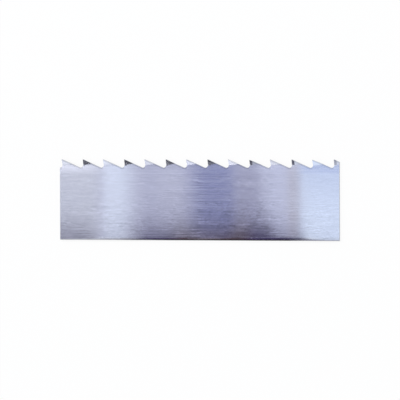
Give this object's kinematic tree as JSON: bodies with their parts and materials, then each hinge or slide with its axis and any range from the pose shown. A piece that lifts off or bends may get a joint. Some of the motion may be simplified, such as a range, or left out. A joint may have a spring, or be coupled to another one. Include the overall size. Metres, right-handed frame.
{
  "type": "band saw blade",
  "caption": "Straight length of band saw blade: a flat hardened steel band with hook teeth along one edge, set alternately to both sides.",
  "frame": {"origin": "under the middle of the band's length and width, level with the tips of the teeth that lean down", "axes": "+X along the band, away from the way the teeth point; +Y across the band towards the tooth tips; +Z through the thickness, so the blade lies on its side"},
  "size_m": [0.1132, 0.0318, 0.002],
  "materials": {
    "band_steel": "brushed lengthwise, cool grey, with a faint paler line where the hardened tooth zone ends"
  },
  "bodies": {
    "root": {"saw_blade": "band_steel"}
  },
  "joints": []
}
